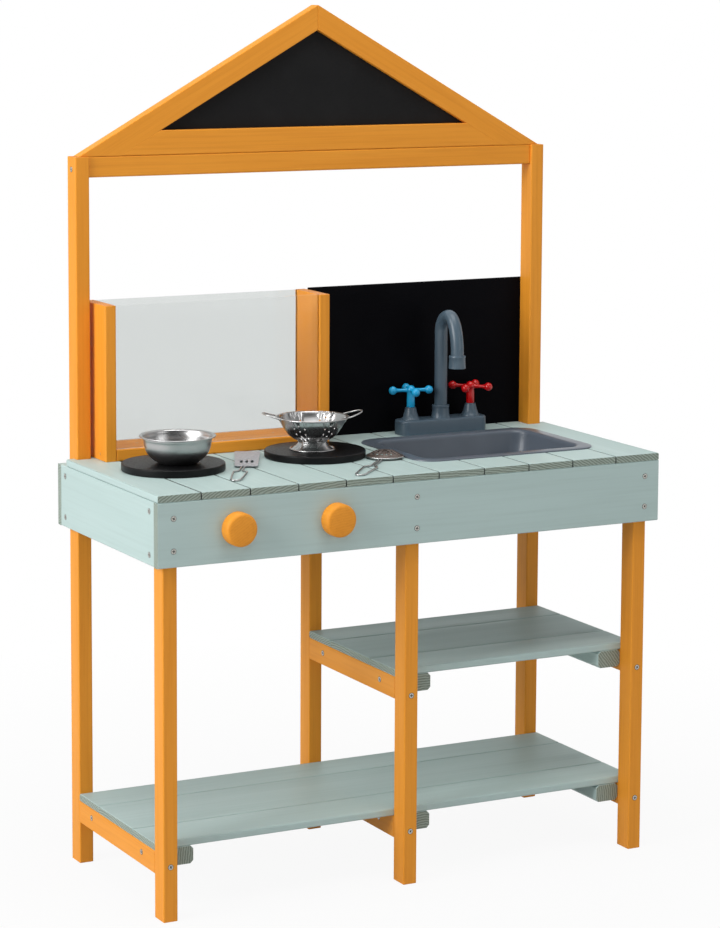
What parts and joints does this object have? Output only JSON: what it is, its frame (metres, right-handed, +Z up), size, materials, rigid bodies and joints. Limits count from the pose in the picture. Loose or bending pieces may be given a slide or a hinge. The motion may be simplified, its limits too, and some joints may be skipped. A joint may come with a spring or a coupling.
{
  "type": "mud kitchen",
  "caption": "Child's wooden mud kitchen with a sink and tap, hob rings and knobs, clear splash box, shelves, gabled roof, chalkboards and loose utensils.",
  "frame": {"origin": "middle of the floor under the whole kitchen", "axes": "+X to the right seen from the front, +Y to the back, +Z up"},
  "size_m": [0.7508, 0.3554, 1.168],
  "materials": {
    "orange_paint": "painted satin",
    "mint_paint": "thin painted satin",
    "chalkboard": "matte black paint",
    "clear_pane": "clear acrylic",
    "grey_basin": "moulded satin",
    "grey_tap": "moulded satin",
    "blue_plastic": "gloss",
    "red_plastic": "gloss",
    "black_paint": "painted satin",
    "zinc_steel": "zinc plated",
    "kitchen_steel": "polished"
  },
  "bodies": {
    "table": {"back_apron": "mint_paint", "back_left_post": "orange_paint", "back_middle_leg": "orange_paint", "back_right_post": "orange_paint", "front_apron": "mint_paint", "front_left_leg": "orange_paint", "front_middle_leg": "orange_paint", "front_right_leg": "orange_paint", "left_apron": "mint_paint", "left_hob_disc": "black_paint", "left_rafter": "orange_paint", "lower_left_rail": "orange_paint", "lower_middle_rail": "orange_paint", "lower_right_rail": "orange_paint", "lower_shelf_front_plank": "mint_paint", "lower_shelf_middle_plank": "mint_paint", "lower_shelf_rear_plank": "mint_paint", "rear_chalkboard": "chalkboard", "right_apron": "mint_paint", "right_hob_disc": "black_paint", "right_rafter": "orange_paint", "roof_bottom_rail": "orange_paint", "roof_chalkboard": "chalkboard", "roof_crossbeam": "orange_paint", "splash_bottom_board": "orange_paint", "splash_front_pane": "clear_pane", "splash_left_upright": "orange_paint", "splash_rear_pane": "clear_pane", "splash_right_upright": "orange_paint", "support_battens": "mint_paint", "tap_base": "grey_tap", "upper_middle_rail": "orange_paint", "upper_right_rail": "orange_paint", "upper_shelf_front_plank": "mint_paint", "upper_shelf_middle_plank": "mint_paint", "upper_shelf_rear_plank": "mint_paint", "wood_screws": "zinc_steel", "worktop_plank_01": "mint_paint", "worktop_plank_02": "mint_paint", "worktop_plank_03": "mint_paint", "worktop_plank_04": "mint_paint", "worktop_plank_05": "mint_paint", "worktop_plank_06": "mint_paint", "worktop_plank_07": "mint_paint", "worktop_plank_08": "mint_paint", "worktop_plank_09": "mint_paint", "worktop_plank_10": "mint_paint", "worktop_plank_11": "mint_paint"},
    "left_knob": {"left_knob": "orange_paint", "left_knob_bolt": "zinc_steel"},
    "right_knob": {"right_knob": "orange_paint", "right_knob_bolt": "zinc_steel"},
    "cold_handle": {"cold_tap_handle": "blue_plastic"},
    "hot_handle": {"hot_tap_handle": "red_plastic"},
    "spout": {"tap_spout": "grey_tap"},
    "sink": {"sink_basin": "grey_basin"},
    "bowl": {"bowl": "kitchen_steel"},
    "colander": {"colander": "kitchen_steel"},
    "spatula": {"spatula": "kitchen_steel"},
    "skimmer": {"skimmer": "kitchen_steel"}
  },
  "joints": [
    {"name": "left_knob_turn", "type": "hinge", "parent": "table", "child": "left_knob", "pos_m": [-0.265, -0.16835, 0.5095], "axis": [0, 1, 0], "continuous": true},
    {"name": "right_knob_turn", "type": "hinge", "parent": "table", "child": "right_knob", "pos_m": [-0.123, -0.16835, 0.5095], "axis": [0, 1, 0], "continuous": true},
    {"name": "cold_handle_turn", "type": "hinge", "parent": "table", "child": "cold_handle", "pos_m": [0.1453, 0.1323, 0.6], "axis": [0, 0, 1], "continuous": true},
    {"name": "hot_handle_turn", "type": "hinge", "parent": "table", "child": "hot_handle", "pos_m": [0.2427, 0.1323, 0.6], "axis": [0, 0, 1], "continuous": true},
    {"name": "spout_swivel", "type": "hinge", "parent": "table", "child": "spout", "pos_m": [0.194, 0.1323, 0.59], "axis": [0, 0, 1], "range_deg": [-90, 90]},
    {"name": "sink_lift", "type": "slide", "parent": "table", "child": "sink", "axis": [0, 0, 1], "range_m": [0, 0.05]},
    {"name": "bowl_lift", "type": "slide", "parent": "table", "child": "bowl", "axis": [0, 0, 1], "range_m": [0, 0.15]},
    {"name": "colander_lift", "type": "slide", "parent": "table", "child": "colander", "axis": [0, 0, 1], "range_m": [0, 0.15]},
    {"name": "spatula_lift", "type": "slide", "parent": "table", "child": "spatula", "axis": [0, 0, 1], "range_m": [0, 0.15]},
    {"name": "skimmer_lift", "type": "slide", "parent": "table", "child": "skimmer", "axis": [0, 0, 1], "range_m": [0, 0.15]}
  ]
}
